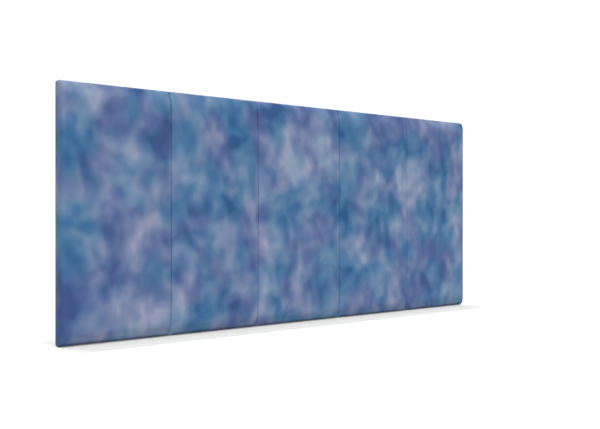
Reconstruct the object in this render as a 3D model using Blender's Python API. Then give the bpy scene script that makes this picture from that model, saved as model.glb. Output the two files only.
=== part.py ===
"""Wall punch pad: a plywood board with foam in five upright channels under a sewn cover,
hung on a wall by two pairs of interlocking Z-section rails.

Run it with blender --background --python part.py, or from Blender's text editor.
Metres, +Z up. The wall is the plane y = 0 and the pad's face looks along -Y. The origin is on the
back of the upper wall rail, at the middle of its length. "Depth" is the distance out from the wall.
"""

import math

import bmesh
import bpy

MM = 0.001

# Driving dimensions
PAD_HEIGHT = 1.22
CHANNEL_WIDTHS = (0.618, 0.579, 0.637, 0.615, 0.601)  # left to right
PAD_WIDTH = sum(CHANNEL_WIDTHS)
CORNER_RADIUS = 22 * MM
CROWN_DEPTH = 67.3 * MM  # the pad's face, out from the wall
RAIL_SPACING = 0.80
PAD_CENTRE_Z = -RAIL_SPACING / 2
FIT_GAP = 0.3 * MM  # between pieces that touch

# The cover and how its seams draw the foam in
COVER_THICKNESS = 1.2 * MM
COVER_RETURN = 55 * MM  # how far the cover is turned in behind the board
RIM_RADIUS = 12 * MM
END_DOME, END_DOME_REACH = 13 * MM, 100 * MM  # the face falls back towards the top and the bottom
SIDE_DOME, SIDE_DOME_REACH = 9 * MM, 50 * MM
SEAM_HALF_GAP = 0.7 * MM
SEAM_SHOULDER = 4.5 * MM  # radius at which a cover panel turns down into a crease
SEAM_PULL, SEAM_PULL_REACH = 4 * MM, 13 * MM
SEAM_END_PULL = 10 * MM  # a crease is deeper at the top and the bottom
SEAM_SKIRT = 8 * MM  # sewing allowance below the crease

# The board and the foam
BOARD_BACK = 6.8 * MM
BOARD_THICKNESS = 12 * MM
BOARD_FRONT = BOARD_BACK + BOARD_THICKNESS
BOARD_CORNER_RADIUS = 26 * MM
FOAM_BACK = BOARD_FRONT + FIT_GAP
FIRM_FOAM_THICKNESS = 25 * MM
INSIDE_COVER = COVER_THICKNESS + FIT_GAP  # how far the filling stays in from the cover's face
STRIP_THICKNESS = 0.8 * MM
STRIP_BELOW_CREASE = 1.5 * MM
STRIP_END_MARGIN = 15 * MM

# Interlocking rails: each is a plate, a step and a lip, all of one thickness
RAIL_LENGTH = 2.46
RAIL_THICKNESS = 2.5 * MM
RAIL_SLACK = 1 * MM  # between one rail's lip and the other's plate
RAIL_STAND_OFF = 6.5 * MM  # from the wall to the pad rail's far face
WALL_PLATE_BOTTOM, WALL_STEP_TOP, WALL_LIP_TOP = -20 * MM, 8 * MM, 24 * MM
HOOK_OVERLAP = 12 * MM
PAD_PLATE_HEIGHT = 30 * MM
RAIL_HOLE_COUNT = 7
RAIL_HOLE_PITCH = 0.40
WALL_HOLE_Z = -8 * MM

# Screws, their holes and the buffers
ROUND_SIDES = 12
HEAD_RADIUS, HEAD_HEIGHT = 4.0 * MM, 2.2 * MM
HEAD_SUNK = 0.1 * MM
SHANK_RADIUS, TIP_RADIUS = 1.9 * MM, 0.4 * MM
SHANK_END, TIP_END = 14 * MM, 16 * MM
HOLE_CLEARANCE = 0.4 * MM
HEAD_CLEARANCE = 0.6 * MM
WALL_HOLE_RADIUS, WALL_SINK_RADIUS = 2.75 * MM, 5.4 * MM
DRIVE_LENGTH, DRIVE_WIDTH, DRIVE_DEPTH = 4.4 * MM, 1.0 * MM, 1.5 * MM
BUMPER_RADIUS, BUMPER_NOSE_RADIUS, BUMPER_NOSE = 11 * MM, 9 * MM, 1.5 * MM
BUMPER_SIDES = 16
BUMPER_INSET = 30 * MM

CUTTER_REACH = 5 * MM  # how far a cutter runs past what it cuts


# Materials

def linear(channel):
    value = channel / 255
    return value / 12.92 if value <= 0.04045 else ((value + 0.055) / 1.055) ** 2.4


def material(name, colour, roughness, metallic=0.0):
    made = bpy.data.materials.get(name)
    if made is None:
        made = bpy.data.materials.new(name)
        made.use_nodes = True
        shader = made.node_tree.nodes["Principled BSDF"]
        shader.inputs["Base Color"].default_value = (*(linear(channel) for channel in colour), 1)
        shader.inputs["Roughness"].default_value = roughness
        shader.inputs["Metallic"].default_value = metallic
    return made


def coated_fabric():
    return material("coated fabric", (97, 122, 159), 0.55)


def firm_foam():
    return material("firm foam", (120, 122, 124), 0.95)


def soft_foam():
    return material("soft foam", (226, 216, 190), 0.95)


def plywood():
    return material("birch plywood", (200, 168, 122), 0.7)


def woven_tape():
    return material("woven tape", (232, 230, 224), 0.9)


def aluminium():
    return material("mill finish aluminium", (176, 178, 181), 0.4, 1.0)


def plated_steel():
    return material("zinc plated steel", (168, 168, 164), 0.35, 1.0)


def rubber():
    return material("black rubber", (34, 34, 35), 0.8)


# Objects

def clear_scene():
    for item in list(bpy.data.objects):
        bpy.data.objects.remove(item)


def new_object(name, mesh, look, parent=None):
    item = bpy.data.objects.new(name, mesh)
    bpy.context.collection.objects.link(item)
    if look:
        mesh.materials.append(look)
    item.parent = parent
    return item


def mesh_from(bm, name):
    bmesh.ops.recalc_face_normals(bm, faces=bm.faces)
    mesh = bpy.data.meshes.new(name)
    bm.to_mesh(mesh)
    bm.free()
    return mesh


def cut(item, cutter, parent=None):
    cutter.hide_render = True
    cutter.display_type = "WIRE"
    cutter.parent = parent
    modifier = item.modifiers.new(cutter.name, "BOOLEAN")
    modifier.operation = "DIFFERENCE"
    modifier.object = cutter


def box_mesh(name, x_span, depth_span, z_span):
    bm = bmesh.new()
    bmesh.ops.create_cube(bm, size=1)
    for vert in bm.verts:
        vert.co.x = x_span[vert.co.x > 0]
        vert.co.y = -depth_span[vert.co.y < 0]
        vert.co.z = z_span[vert.co.z > 0]
    return mesh_from(bm, name)


def add_prism(bm, outline, along, span):
    """An outline of three or more points, drawn out between two offsets along a direction."""
    ends = []
    for offset in span:
        ends.append([bm.verts.new([a + offset * b for a, b in zip(point, along)]) for point in outline])
    bm.faces.new(ends[0])
    bm.faces.new(ends[1][::-1])
    for index in range(len(outline)):
        near, far = index, (index + 1) % len(outline)
        bm.faces.new((ends[0][far], ends[0][near], ends[1][near], ends[1][far]))


def add_turned(bm, profile, centre_x, centre_z, sides=ROUND_SIDES):
    """A closed round body about a line along Y, from (depth, radius) pairs in order of depth."""
    rings = []
    for depth, radius in profile:
        ring = []
        for side in range(sides):
            angle = 2 * math.pi * (side + 0.5) / sides
            x = centre_x + radius * math.cos(angle)
            z = centre_z + radius * math.sin(angle)
            ring.append(bm.verts.new((x, -depth, z)))
        rings.append(ring)
    bm.faces.new(rings[0])
    bm.faces.new(rings[-1][::-1])
    for inner, outer in zip(rings, rings[1:]):
        for side in range(sides):
            after = (side + 1) % sides
            bm.faces.new((inner[side], inner[after], outer[after], outer[side]))


def smooth_rounds(mesh, sharp_degrees=35):
    mesh.shade_smooth()
    mesh.set_sharp_from_angle(angle=math.radians(sharp_degrees))


# The padded shape

def channel_span(channel):
    """Left and right x of a channel, and whether each of those edges is a seam."""
    left = -PAD_WIDTH / 2 + sum(CHANNEL_WIDTHS[:channel])
    right = left + CHANNEL_WIDTHS[channel]
    left_is_seam, right_is_seam = channel > 0, channel < len(CHANNEL_WIDTHS) - 1
    return (
        left + SEAM_HALF_GAP * left_is_seam,
        right - SEAM_HALF_GAP * right_is_seam,
        left_is_seam,
        right_is_seam,
    )


def seam_x(seam):
    return -PAD_WIDTH / 2 + sum(CHANNEL_WIDTHS[: seam + 1])


def arc_distances(radius, steps):
    """Distances in from an edge, evenly spread round a quarter circle that ends there."""
    return [radius * (1 - math.cos(math.pi / 2 * step / steps)) for step in range(steps + 1)]


def arc_drop(radius, distance):
    """How far a quarter-round edge has fallen at a distance in from the edge."""
    reach = min(max(radius - distance, 0), radius)
    return radius - math.sqrt(radius**2 - reach**2)


def corner_cut(across, inset):
    """How much shorter than the middle a column is at each end, this far in from the side."""
    return arc_drop(CORNER_RADIUS - inset, across)


def rim_distance(across, up, inset):
    """Distance in from the pad's outline, whose corners are round."""
    radius = CORNER_RADIUS - inset
    if across < radius and up < radius:
        return max(radius - math.hypot(radius - across, radius - up), 0)
    return min(across, up)


def crease_pull(up):
    return SEAM_PULL + SEAM_END_PULL * math.exp(-up / END_DOME_REACH)


def face_depth(channel, x, z, inset):
    """Depth of the padded face, or of the surface that lies this far inside it."""
    left, right, left_is_seam, right_is_seam = channel_span(channel)
    across = PAD_WIDTH / 2 - abs(x)
    up = PAD_HEIGHT / 2 - abs(z)
    depth = CROWN_DEPTH - inset
    depth -= END_DOME * math.exp(-up / END_DOME_REACH)
    depth -= SIDE_DOME * math.exp(-across / SIDE_DOME_REACH)
    depth -= arc_drop(RIM_RADIUS - inset, rim_distance(across - inset, up - inset, inset))
    for is_seam, distance in ((left_is_seam, x - left), (right_is_seam, right - x)):
        if is_seam:
            depth -= crease_pull(up) * math.exp(-distance / SEAM_PULL_REACH)
            depth -= arc_drop(SEAM_SHOULDER - inset, distance - inset)
    return depth


def columns(channel, inset):
    """The x of each column of points: close together where the face turns."""
    left, right, left_is_seam, right_is_seam = channel_span(channel)
    found = []
    for is_seam, edge, inward in ((left_is_seam, left, 1), (right_is_seam, right, -1)):
        if is_seam:
            steps = arc_distances(SEAM_SHOULDER - inset, 2)
            beyond = [14 * MM, 35 * MM]
        else:
            steps = arc_distances(RIM_RADIUS - inset, 3)
            beyond = [CORNER_RADIUS, 45 * MM, 120 * MM]
        side = [edge + inward * (inset + step) for step in steps]
        side += [edge + inward * step for step in beyond]
        found += side
    return sorted(found)


def rows(across, inset):
    """The z of each row of points, up a column this far in from the pad's side."""
    outer_corner = max(across - inset, 0)
    end = PAD_HEIGHT / 2 - inset - corner_cut(outer_corner, inset)
    half = [end - step for step in arc_distances(RIM_RADIUS - inset, 3)]
    half += [PAD_HEIGHT / 2 - step for step in (45 * MM, 100 * MM, 220 * MM)]
    return half + [0.0] + [-z for z in reversed(half)]


def padded_body(name, channel, inset, back, deepest=None, open_seams=False):
    """A closed body whose face is the padded face, this far inside, and whose back is flat.

    deepest caps the face's depth. open_seams runs the body out past the channel's seams, below the
    sewing allowance, so that as a cutter it opens the sides of a cover.
    """
    left, right, left_is_seam, right_is_seam = channel_span(channel)
    grid = []
    for x in columns(channel, inset):
        column = []
        for z in rows(PAD_WIDTH / 2 - abs(x), inset):
            depth = face_depth(channel, x, z, inset)
            column.append((x, depth if deepest is None else min(depth, deepest), z))
        grid.append(column)
    if open_seams:
        if left_is_seam:
            grid = skirt_columns(grid[0], -1) + grid
        if right_is_seam:
            grid = grid + skirt_columns(grid[-1], 1)[::-1]

    bm = bmesh.new()
    face = [[bm.verts.new((x, -depth, PAD_CENTRE_Z + z)) for x, depth, z in column] for column in grid]
    border = [column[0] for column in face] + face[-1][1:]
    border += [column[-1] for column in reversed(face[:-1])] + face[0][-2:0:-1]
    for one, other in zip(face, face[1:]):
        for row in range(len(one) - 1):
            bm.faces.new((one[row], other[row], other[row + 1], one[row + 1]))
    rear = [bm.verts.new((vert.co.x, -back, vert.co.z)) for vert in border]
    for index in range(len(border)):
        after = (index + 1) % len(border)
        bm.faces.new((border[index], rear[index], rear[after], border[after]))
    bm.faces.new(rear)
    return mesh_from(bm, name)


def skirt_columns(edge_column, outward):
    """Two more columns past a seam edge: one at the foot of the sewing allowance and one beyond it."""
    lean = 0.2 * MM
    found = []
    for offset in (COVER_THICKNESS + CUTTER_REACH, lean):
        column = []
        for x, depth, z in edge_column:
            foot = max(depth - SEAM_SKIRT, FOAM_BACK + FIT_GAP)
            column.append((x + outward * offset, foot, z))
        found.append(column)
    return found


# Sub-parts

def make_board(pad):
    inset = INSIDE_COVER
    radius = BOARD_CORNER_RADIUS
    outline = []
    for quarter, (side, end) in enumerate(((1, 1), (-1, 1), (-1, -1), (1, -1))):
        centre_x = side * (PAD_WIDTH / 2 - inset - radius)
        centre_z = PAD_CENTRE_Z + end * (PAD_HEIGHT / 2 - inset - radius)
        for step in range(6):
            angle = math.pi / 2 * (quarter + step / 5)
            point = (centre_x + radius * math.cos(angle), 0, centre_z + radius * math.sin(angle))
            outline.append(point)
    bm = bmesh.new()
    add_prism(bm, outline, (0, -1, 0), (BOARD_BACK, BOARD_FRONT))
    board = new_object("backer_board", mesh_from(bm, "backer board"), plywood(), pad)

    bm = bmesh.new()
    radius = SHANK_RADIUS + FIT_GAP
    for x, z in pad_screw_places():
        add_turned(bm, [(BOARD_BACK - CUTTER_REACH, radius), (TIP_END + HOLE_CLEARANCE, radius)], x, z)
    cut(board, new_object("pilot_hole_cutter", mesh_from(bm, "pilot holes"), None), pad)


def make_foam(pad):
    split = FOAM_BACK + FIRM_FOAM_THICKNESS
    reach = PAD_WIDTH / 2 + CUTTER_REACH
    z_span = (PAD_CENTRE_Z - PAD_HEIGHT, PAD_CENTRE_Z + PAD_HEIGHT)
    slab = box_mesh("foam split", (-reach, reach), (0, split + FIT_GAP), z_span)
    splitter = new_object("foam_split_cutter", slab, None)
    for channel in range(len(CHANNEL_WIDTHS)):
        number = channel + 1
        mesh = padded_body(f"firm foam {number}", channel, INSIDE_COVER, FOAM_BACK, deepest=split)
        new_object(f"foam_core_{number}", mesh, firm_foam(), pad)
        mesh = padded_body(f"soft foam {number}", channel, INSIDE_COVER, FOAM_BACK)
        cut(new_object(f"foam_top_{number}", mesh, soft_foam(), pad), splitter, pad)


def make_cover(pad):
    outer_back = BOARD_BACK - FIT_GAP - COVER_THICKNESS
    inner_back = BOARD_BACK - FIT_GAP
    half_height = PAD_HEIGHT / 2 - COVER_RETURN
    for channel in range(len(CHANNEL_WIDTHS)):
        number = channel + 1
        mesh = padded_body(f"cover {number}", channel, 0, outer_back)
        cover = new_object(f"cover_panel_{number}", mesh, coated_fabric(), pad)
        smooth_rounds(mesh)
        hollow = padded_body(f"cover hollow {number}", channel, COVER_THICKNESS, inner_back, open_seams=True)
        cut(cover, new_object(f"cover_hollow_cutter_{number}", hollow, None), pad)
        left, right, left_is_seam, right_is_seam = channel_span(channel)
        window_left = left - CUTTER_REACH if left_is_seam else left + COVER_RETURN
        window_right = right + CUTTER_REACH if right_is_seam else right - COVER_RETURN
        window = box_mesh(
            f"cover window {number}",
            (window_left, window_right),
            (outer_back - MM, inner_back + MM),
            (PAD_CENTRE_Z - half_height, PAD_CENTRE_Z + half_height),
        )
        cut(cover, new_object(f"cover_window_cutter_{number}", window, None), pad)


def make_pull_strips(pad):
    ends = PAD_HEIGHT / 2 - STRIP_END_MARGIN
    for seam in range(len(CHANNEL_WIDTHS) - 1):
        x = seam_x(seam)
        heights = [z for z in rows(PAD_WIDTH, 0) if abs(z) < ends]
        heights = [ends] + heights + [-ends]
        outline = [(x, -FOAM_BACK, PAD_CENTRE_Z + ends), (x, -FOAM_BACK, PAD_CENTRE_Z - ends)]
        for z in reversed(heights):
            crease = face_depth(seam, x - SEAM_HALF_GAP, z, 0)
            outline.append((x, STRIP_BELOW_CREASE - crease, PAD_CENTRE_Z + z))
        bm = bmesh.new()
        add_prism(bm, outline, (1, 0, 0), (-STRIP_THICKNESS / 2, STRIP_THICKNESS / 2))
        new_object(f"pull_strip_{seam + 1}", mesh_from(bm, f"pull strip {seam + 1}"), woven_tape(), pad)


def rail_places():
    return (("upper", 0.0), ("lower", -RAIL_SPACING))


def rail_hole_offsets():
    first = -RAIL_HOLE_PITCH * (RAIL_HOLE_COUNT - 1) / 2
    return [first + RAIL_HOLE_PITCH * index for index in range(RAIL_HOLE_COUNT)]


def pad_screw_z(rail_z):
    return rail_z + WALL_LIP_TOP + FIT_GAP + (RAIL_THICKNESS + PAD_PLATE_HEIGHT) / 2


def pad_screw_places():
    return [(x, pad_screw_z(rail_z)) for _, rail_z in rail_places() for x in rail_hole_offsets()]


def rail_mesh(name, profile):
    bm = bmesh.new()
    outline = [(0, -depth, z) for depth, z in profile]
    add_prism(bm, outline, (1, 0, 0), (-RAIL_LENGTH / 2, RAIL_LENGTH / 2))
    return mesh_from(bm, name)


def make_wall_rails(root):
    lip_back = RAIL_THICKNESS + RAIL_SLACK
    lip_front = lip_back + RAIL_THICKNESS
    for name, rail_z in rail_places():
        bottom, step_top, top = (rail_z + z for z in (WALL_PLATE_BOTTOM, WALL_STEP_TOP, WALL_LIP_TOP))
        step_bottom = step_top - RAIL_THICKNESS
        profile = [(0, bottom), (0, step_top), (lip_back, step_top), (lip_back, top)]
        profile += [(lip_front, top), (lip_front, step_bottom)]
        profile += [(RAIL_THICKNESS, step_bottom), (RAIL_THICKNESS, bottom)]
        rail = new_object(f"wall_rail_{name}", rail_mesh(f"wall rail {name}", profile), aluminium(), root)
        bm = bmesh.new()
        for x in rail_hole_offsets():
            flare = WALL_SINK_RADIUS - WALL_HOLE_RADIUS
            hole = [(-CUTTER_REACH, WALL_HOLE_RADIUS), (RAIL_THICKNESS - flare * 0.8, WALL_HOLE_RADIUS)]
            hole += [(RAIL_THICKNESS, WALL_SINK_RADIUS), (lip_front + CUTTER_REACH, WALL_SINK_RADIUS)]
            add_turned(bm, hole, x, rail_z + WALL_HOLE_Z)
        holes = new_object(f"wall_rail_hole_cutter_{name}", mesh_from(bm, f"wall rail holes {name}"), None)
        cut(rail, holes, root)


def make_pad_rails(pad):
    plate_back = RAIL_STAND_OFF - RAIL_THICKNESS
    lip_front = RAIL_STAND_OFF - RAIL_THICKNESS - RAIL_SLACK
    lip_back = lip_front - RAIL_THICKNESS
    for name, rail_z in rail_places():
        lip_bottom = rail_z + WALL_LIP_TOP - HOOK_OVERLAP
        step_bottom = rail_z + WALL_LIP_TOP + FIT_GAP
        step_top = step_bottom + RAIL_THICKNESS
        top = step_bottom + PAD_PLATE_HEIGHT
        profile = [(lip_back, lip_bottom), (lip_back, step_top), (plate_back, step_top)]
        profile += [(plate_back, top), (RAIL_STAND_OFF, top), (RAIL_STAND_OFF, step_bottom)]
        profile += [(lip_front, step_bottom), (lip_front, lip_bottom)]
        rail = new_object(f"pad_rail_{name}", rail_mesh(f"pad rail {name}", profile), aluminium(), pad)
        bm = bmesh.new()
        through = SHANK_RADIUS + HOLE_CLEARANCE
        sunk = HEAD_RADIUS + HEAD_CLEARANCE
        head_end = plate_back + HEAD_SUNK + HEAD_HEIGHT
        for x in rail_hole_offsets():
            hole = [(plate_back - CUTTER_REACH, sunk), (plate_back, sunk)]
            hole += [(head_end, through), (RAIL_STAND_OFF + CUTTER_REACH, through)]
            add_turned(bm, hole, x, pad_screw_z(rail_z))
        holes = new_object(f"pad_rail_hole_cutter_{name}", mesh_from(bm, f"pad rail holes {name}"), None)
        cut(rail, holes, pad)


def screw_mesh():
    """A countersunk screw with a cross drive, its head towards the wall and its axis through the origin."""
    head_face = RAIL_STAND_OFF - RAIL_THICKNESS + HEAD_SUNK
    bm = bmesh.new()
    profile = [(head_face, HEAD_RADIUS), (head_face + HEAD_HEIGHT, SHANK_RADIUS)]
    profile += [(SHANK_END, SHANK_RADIUS), (TIP_END, TIP_RADIUS)]
    add_turned(bm, profile, 0, 0)
    blank = new_object("screw_blank_cutter", mesh_from(bm, "screw blank"), plated_steel())
    blank.hide_render = True

    long, short = DRIVE_LENGTH / 2, DRIVE_WIDTH / 2
    arm = [(short, long), (-short, long), (-short, short)]
    outline = []
    for quarter in range(4):
        turn = math.pi / 2 * quarter
        for x, z in arm:
            turned_x = x * math.cos(turn) - z * math.sin(turn)
            turned_z = x * math.sin(turn) + z * math.cos(turn)
            outline.append((turned_x, 0, turned_z))
    bm = bmesh.new()
    add_prism(bm, outline, (0, -1, 0), (head_face - CUTTER_REACH, head_face + DRIVE_DEPTH))
    cut(blank, new_object("screw_drive_cutter", mesh_from(bm, "screw drive"), None))
    finished = blank.evaluated_get(bpy.context.evaluated_depsgraph_get())
    mesh = bpy.data.meshes.new_from_object(finished)
    mesh.name = "countersunk screw"
    smooth_rounds(mesh, 25)
    return mesh


def make_screws(pad):
    mesh = screw_mesh()
    for name, rail_z in rail_places():
        for number, x in enumerate(rail_hole_offsets(), start=1):
            screw = new_object(f"rail_screw_{name}_{number}", mesh, None, pad)
            screw.location = (x, 0, pad_screw_z(rail_z))


def make_bumpers(pad):
    seat = BOARD_BACK - 2 * FIT_GAP - COVER_THICKNESS
    profile = [(FIT_GAP, BUMPER_NOSE_RADIUS), (FIT_GAP + BUMPER_NOSE, BUMPER_RADIUS), (seat, BUMPER_RADIUS)]
    number = 0
    for end in (1, -1):
        for side in (-1, 1):
            number += 1
            bm = bmesh.new()
            x = side * (PAD_WIDTH / 2 - BUMPER_INSET)
            z = PAD_CENTRE_Z + end * (PAD_HEIGHT / 2 - BUMPER_INSET)
            add_turned(bm, profile, x, z, BUMPER_SIDES)
            mesh = mesh_from(bm, f"wall bumper {number}")
            smooth_rounds(mesh)
            new_object(f"wall_bumper_{number}", mesh, rubber(), pad)


def empty(name):
    item = bpy.data.objects.new(name, None)
    bpy.context.collection.objects.link(item)
    return item


def main():
    clear_scene()
    root = empty("wall_rails")
    pad = empty("pad")  # lifts straight up off the wall rails
    make_wall_rails(root)
    make_pad_rails(pad)
    make_board(pad)
    make_foam(pad)
    make_cover(pad)
    make_pull_strips(pad)
    make_screws(pad)
    make_bumpers(pad)


main()
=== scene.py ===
import math
import random

import bmesh
import bpy
import numpy as np
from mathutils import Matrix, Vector


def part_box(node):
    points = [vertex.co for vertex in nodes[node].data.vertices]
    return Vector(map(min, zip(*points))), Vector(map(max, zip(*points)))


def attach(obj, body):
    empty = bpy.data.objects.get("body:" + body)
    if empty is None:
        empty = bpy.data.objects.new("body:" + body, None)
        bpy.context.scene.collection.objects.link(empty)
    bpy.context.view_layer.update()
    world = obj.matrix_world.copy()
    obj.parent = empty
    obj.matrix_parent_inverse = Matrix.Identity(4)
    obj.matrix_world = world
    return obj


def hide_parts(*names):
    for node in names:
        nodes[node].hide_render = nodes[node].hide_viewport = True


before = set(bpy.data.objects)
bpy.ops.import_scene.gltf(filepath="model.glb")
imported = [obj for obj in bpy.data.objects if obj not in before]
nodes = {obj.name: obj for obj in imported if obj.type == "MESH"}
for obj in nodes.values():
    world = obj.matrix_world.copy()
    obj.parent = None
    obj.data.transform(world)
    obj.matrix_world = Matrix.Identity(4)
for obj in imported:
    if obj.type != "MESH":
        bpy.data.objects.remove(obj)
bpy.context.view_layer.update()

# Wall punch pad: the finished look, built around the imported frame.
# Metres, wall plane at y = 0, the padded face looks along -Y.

mm = 0.001
channelCount = 5

panelBoxes = [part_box(f"cover_panel_{number}") for number in range(1, channelCount + 1)]
padLeft, padRight = panelBoxes[0][0].x, panelBoxes[-1][1].x
padBottom, padTop = panelBoxes[0][0].z, panelBoxes[0][1].z
padFront, padBack = panelBoxes[0][0].y, panelBoxes[0][1].y
boardFront = -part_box("backer_board")[0].y
padCentre = Vector(((padLeft + padRight) / 2, 0, (padBottom + padTop) / 2))
halfWidth, halfHeight = (padRight - padLeft) / 2, (padTop - padBottom) / 2
seamPlaces = [
    (panelBoxes[index][1].x + panelBoxes[index + 1][0].x) / 2 for index in range(channelCount - 1)
]


def linearFromHex(text):
    # sRGB hex to the linear values that the shaders take
    values = [int(text[place:place + 2], 16) / 255 for place in (1, 3, 5)]
    return [v / 12.92 if v <= 0.04045 else ((v + 0.055) / 1.055) ** 2.4 for v in values] + [1.0]


def setInputs(tree, node, inputs):
    # an input, by name or number, takes a value or another node's output socket
    for name, value in inputs.items():
        if isinstance(value, bpy.types.NodeSocket):
            tree.links.new(value, node.inputs[name])
        else:
            node.inputs[name].default_value = value


def addNode(tree, kind, settings=None, inputs=None):
    # one node with its settings and its inputs
    node = tree.nodes.new(kind)
    for name, value in (settings or {}).items():
        setattr(node, name, value)
    setInputs(tree, node, inputs or {})
    return node


def newMaterial(name):
    # a material, its node tree and its shader
    material = bpy.data.materials.new(name)
    material.use_nodes = True
    tree = material.node_tree
    return material, tree, tree.nodes["Principled BSDF"]


def fillRamp(ramp, stops):
    # stops are (position, sRGB hex)
    while len(ramp.color_ramp.elements) < len(stops):
        ramp.color_ramp.elements.new(0.5)
    for stop, (position, colour) in zip(ramp.color_ramp.elements, stops):
        stop.position = position
        stop.color = linearFromHex(colour)
    return ramp


# The stage: a white floor, a white room and soft lamps.
stage = {
    "lens": 58.31, "sensor": 36.0,
    "cameraPlace": (-3.8235, -3.9591, padBottom + 0.6045),
    "cameraTurn": 44.315,               # degrees, to the right of straight at the wall
    "cameraShiftUp": 0.0002, "cameraReach": 400,
    "floorBelow": 0.5 * mm,
    "floorSize": 360.0,
    "floorColour": "#959593",
    "floorGlow": 0.23,                  # the floor's own brightness, so that it stays white beside the pad
    "roomSides": 1.03, "roomTop": 0.35, "roomBelow": 0.08,
    "horizonBlend": (-0.05, -0.012),    # heights on a unit sphere over which the room's brightness changes
    "ceilingBlend": (0.26, 0.75),
    "keyFrom": (-0.38, -0.68, 0.63), "keyPower": 2.1, "keySoftness": 24,     # softness in degrees
    "backFrom": (0.45, 0.80, 0.40), "backPower": 1.3, "backSoftness": 40,
    "topLamps": ((2.0, 10.0, 1.16), (13.0, 4.5, 0.38)),     # over the floor: side tilt, tilt, power
    "topSoftness": 1.0,
    "lampDistance": 4,                  # only where each lamp stands; its light is parallel
}


def makeStage():
    scene = bpy.context.scene
    scene.view_settings.view_transform = "Standard"

    camera = bpy.data.objects.new("camera", bpy.data.cameras.new("camera"))
    scene.collection.objects.link(camera)
    camera.data.sensor_width = stage["sensor"]
    camera.data.lens = stage["lens"]
    camera.data.shift_y = stage["cameraShiftUp"]
    camera.data.clip_end = stage["cameraReach"]
    camera.location = stage["cameraPlace"]
    camera.rotation_euler = (math.radians(90), 0, -math.radians(stage["cameraTurn"]))
    scene.camera = camera

    floorHeight = padBottom - stage["floorBelow"]
    bpy.ops.mesh.primitive_plane_add(size=stage["floorSize"], location=(0, 0, floorHeight))
    floor = bpy.context.object
    floor.name = "studio_floor"
    floor.visible_diffuse = False       # the pad takes its light from the lamps and the room alone
    material, tree, shader = newMaterial("white studio vinyl floor")
    setInputs(tree, shader, {
        "Base Color": linearFromHex(stage["floorColour"]), "Roughness": 0.9, "Specular IOR Level": 0.0,
        "Emission Color": (1, 1, 1, 1), "Emission Strength": stage["floorGlow"]})
    floor.data.materials.append(material)
    floorOnly = bpy.data.collections.new("floor only")
    floorOnly.objects.link(floor)

    world = bpy.data.worlds.new("studio")
    scene.world = world
    world.use_nodes = True
    tree = world.node_tree
    direction = addNode(tree, "ShaderNodeTexCoord").outputs["Generated"]
    height = addNode(tree, "ShaderNodeSeparateXYZ", {}, {"Vector": direction}).outputs["Z"]
    lower = addNode(tree, "ShaderNodeMapRange", {"interpolation_type": "SMOOTHSTEP"}, {
        "Value": height, "From Min": stage["horizonBlend"][0], "From Max": stage["horizonBlend"][1],
        "To Min": stage["roomBelow"], "To Max": stage["roomSides"]})
    upper = addNode(tree, "ShaderNodeMapRange", {"interpolation_type": "SMOOTHSTEP"}, {
        "Value": height, "From Min": stage["ceilingBlend"][0], "From Max": stage["ceilingBlend"][1],
        "To Min": 1.0, "To Max": stage["roomTop"] / stage["roomSides"]})
    strength = addNode(tree, "ShaderNodeMath", {"operation": "MULTIPLY"}, {
        0: lower.outputs["Result"], 1: upper.outputs["Result"]})
    setInputs(tree, tree.nodes["Background"], {
        "Strength": strength.outputs["Value"], "Color": (1, 1, 1, 1)})

    def sun(name, towards, power, softness, forFloor=False):
        light = bpy.data.objects.new(name, bpy.data.lights.new(name, "SUN"))
        scene.collection.objects.link(light)
        light.location = Vector(towards) * stage["lampDistance"]
        light.rotation_euler = Vector(towards).to_track_quat("Z", "Y").to_euler()
        light.data.energy = power
        light.data.angle = math.radians(softness)
        if forFloor:
            light.light_linking.receiver_collection = floorOnly

    sun("key", stage["keyFrom"], stage["keyPower"], stage["keySoftness"])
    sun("back", stage["backFrom"], stage["backPower"], stage["backSoftness"])
    for number, (sideTilt, tilt, power) in enumerate(stage["topLamps"], 1):
        sideLean, lean = math.tan(math.radians(sideTilt)), math.tan(math.radians(tilt))
        for name, x, y in (("a", -1, -1), ("b", 1, -1), ("c", -1, 1), ("d", 1, 1)):
            towards = (x * sideLean, y * lean, 1)
            sun(f"top_{name}{number}", towards, power, stage["topSoftness"], forFloor=True)
    print("stage ready")


makeStage()


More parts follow.
